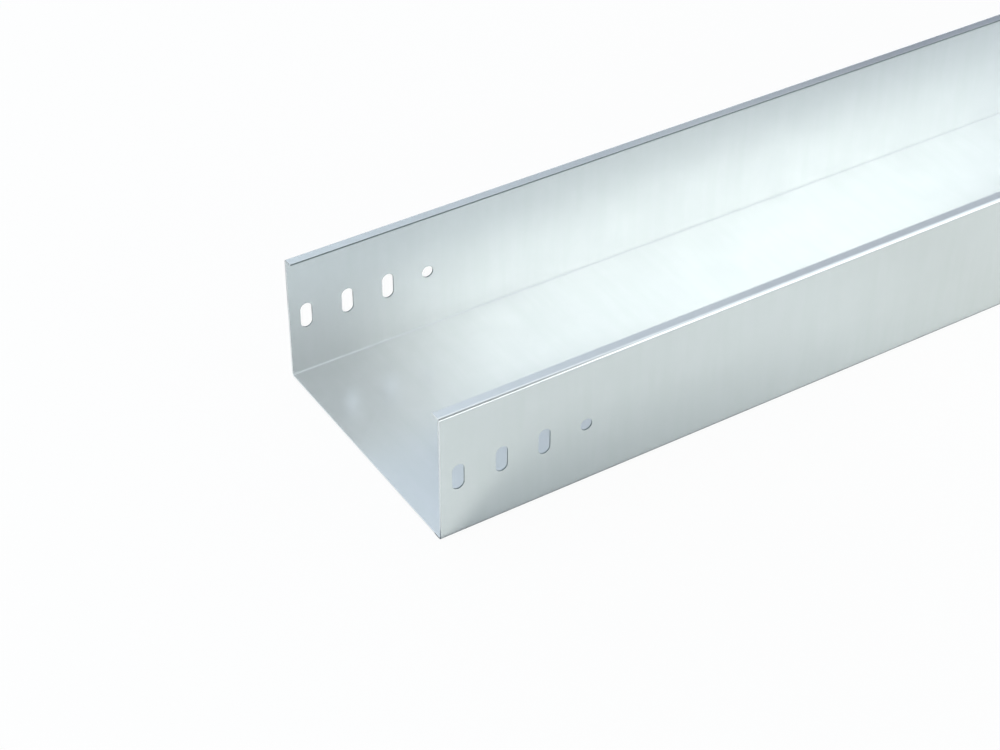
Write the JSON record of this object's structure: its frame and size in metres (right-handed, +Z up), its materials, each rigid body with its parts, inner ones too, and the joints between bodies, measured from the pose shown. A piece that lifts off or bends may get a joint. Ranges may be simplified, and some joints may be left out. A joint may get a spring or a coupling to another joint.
{
  "type": "trough cable tray",
  "caption": "Straight galvanised steel cable trough with a plain floor, upright walls, inward lips, and bolt slots and earthing holes at both ends for joining lengths.",
  "frame": {"origin": "middle of the floor's underside", "axes": "+X along the tray away from the end shown in the picture, +Y across it to the wall farther from the picture's camera, +Z up out of the open top"},
  "size_m": [2, 0.2024, 0.1],
  "materials": {
    "galvanised_sheet": "zinc-coated sheet, semi-gloss, pale silver with a faint blue cast"
  },
  "bodies": {
    "root": {"tray": "galvanised_sheet"}
  },
  "joints": []
}
